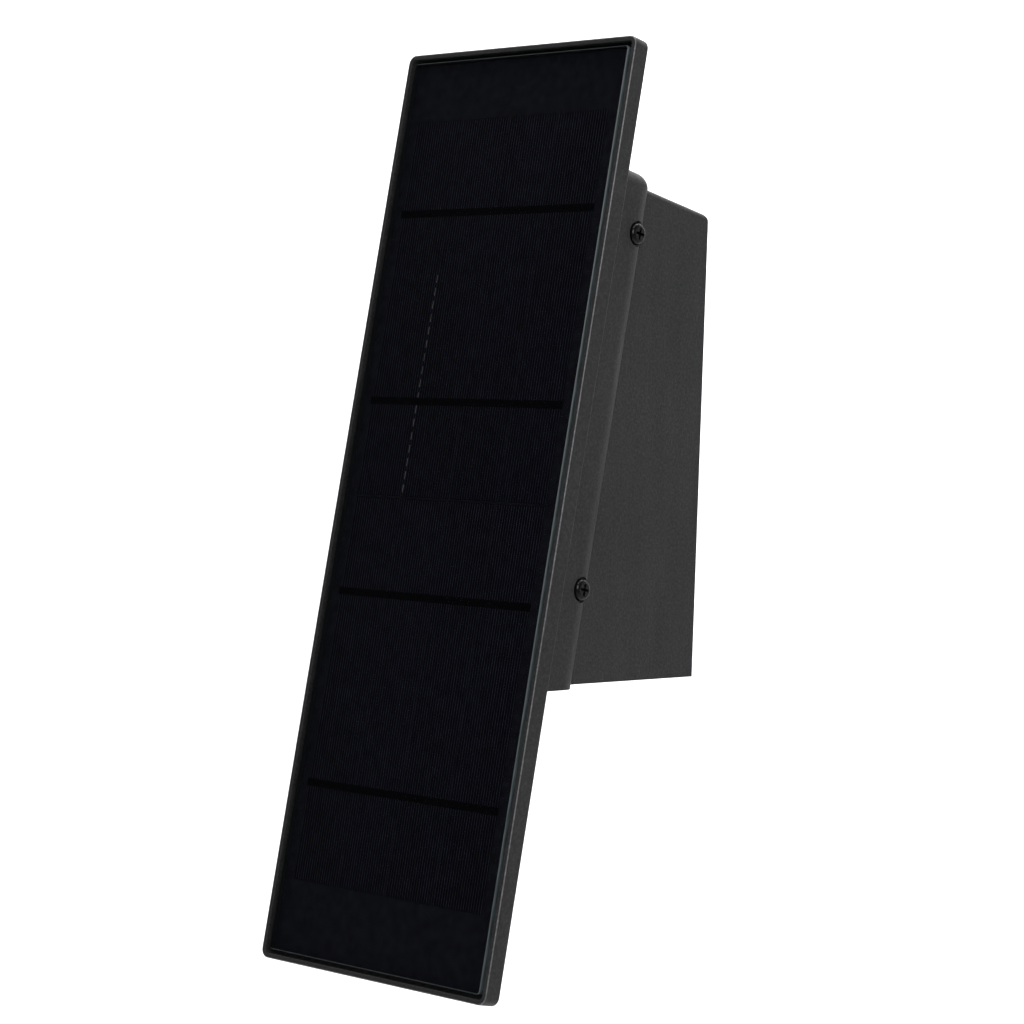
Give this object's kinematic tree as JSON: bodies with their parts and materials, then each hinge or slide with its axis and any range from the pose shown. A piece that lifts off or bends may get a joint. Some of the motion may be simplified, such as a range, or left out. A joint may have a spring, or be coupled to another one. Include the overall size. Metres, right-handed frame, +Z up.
{
  "type": "solar-powered wall camera",
  "caption": "Wall-mounted security camera with a tall leaning solar panel on a wedge-shaped case, a tilting camera ball in its underside, push buttons and a hinged port cover.",
  "frame": {"origin": "centre of the four wall-screw holes, on the back face of the wall box", "axes": "+Z up, +Y into the wall, so the solar panel faces -Y and up; +X to the right seen from the front"},
  "size_m": [0.1, 0.1023, 0.301],
  "materials": {
    "anthracite_plastic": "fine moulded texture",
    "cover_glass": "polished tempered glass with a ground edge",
    "solar_silicon": "dark anti-reflection coating with fine printed fingers",
    "black_tape": "smooth",
    "black_sheet": "smooth laminate",
    "sealant": "cured silicone",
    "seal_rubber": "moulded seal",
    "black_screw": "glossy black finish",
    "bright_screw": "zinc plated",
    "brass_insert": "knurled",
    "inner_plastic": "moulded",
    "base_plastic": "fine moulded texture",
    "ball_plastic": "satin",
    "window": "dark infrared-passing window",
    "lens_glass": "coated lens",
    "battery_wrap": "shrink sleeve",
    "circuit_board": "solder mask",
    "chip": "epoxy",
    "led": "clear dark epoxy",
    "socket_nylon": "nylon",
    "tin_steel": "tin plated",
    "flex_film": "polyimide film",
    "lead_red": "wire insulation",
    "lead_black": "wire insulation",
    "motion_white": "translucent polyethylene",
    "light_clear": "clear acrylic",
    "button_grey": "satin"
  },
  "bodies": {
    "case": {"panel_frame": "anthracite_plastic", "cover_glass": "cover_glass", "solar_cells": "solar_silicon", "busbar_tapes": "black_tape", "cell_backsheet": "black_sheet", "glazing_bead": "sealant", "front_collar": "anthracite_plastic", "collar_screws": "bright_screw", "case_gasket": "seal_rubber", "solar_terminal": "inner_plastic", "solar_lead": "lead_red", "wall_box": "anthracite_plastic", "case_screws": "black_screw", "threaded_inserts": "brass_insert", "battery_tray": "inner_plastic", "battery_cells": "battery_wrap", "battery_strap": "inner_plastic", "strap_screws": "bright_screw", "battery_lead": "lead_red", "main_board": "circuit_board", "board_screws": "bright_screw", "processor_shield": "tin_steel", "board_chips": "chip", "board_sockets": "socket_nylon", "wifi_antenna": "flex_film", "antenna_lead": "lead_black", "base_plate": "base_plastic", "base_gasket": "seal_rubber", "base_screws": "black_screw", "axle_brackets": "inner_plastic", "bracket_screws": "bright_screw", "camera_lead": "lead_black", "motion_lens": "motion_white", "motion_sensor": "tin_steel", "motion_board": "circuit_board", "speaker": "inner_plastic", "speaker_mesh": "seal_rubber", "speaker_lead": "lead_red", "light_pipe": "light_clear", "microphone": "seal_rubber", "control_board": "circuit_board", "tact_switches": "chip", "control_lead": "lead_black", "charging_socket": "tin_steel", "card_socket": "tin_steel"},
    "turret": {"turret_shell": "ball_plastic", "turret_cap": "ball_plastic", "turret_window": "window", "lens_barrel": "inner_plastic", "front_lens": "lens_glass", "rear_lens": "lens_glass", "infrared_board": "circuit_board", "infrared_lights": "led", "sensor_board": "circuit_board", "image_sensor": "chip"},
    "power_button": {"power_button": "button_grey"},
    "pairing_button": {"pairing_button": "button_grey"},
    "port_flap": {"port_flap": "seal_rubber"}
  },
  "joints": [
    {"name": "camera_tilt", "type": "hinge", "parent": "case", "child": "turret", "pos_m": [0, -0.034, -0.0644], "axis": [1, 0, 0], "range_deg": [-25, 30]},
    {"name": "power_press", "type": "slide", "parent": "case", "child": "power_button", "axis": [0, 0, 1], "range_m": [0, 0.0006], "stiffness_N_per_m": 300},
    {"name": "pairing_press", "type": "slide", "parent": "case", "child": "pairing_button", "axis": [0, 0, 1], "range_m": [0, 0.0006], "stiffness_N_per_m": 300},
    {"name": "flap_hinge", "type": "hinge", "parent": "case", "child": "port_flap", "pos_m": [0.025, -0.0527, -0.07465], "axis": [1, 0, 0], "range_deg": [0, 100]}
  ]
}
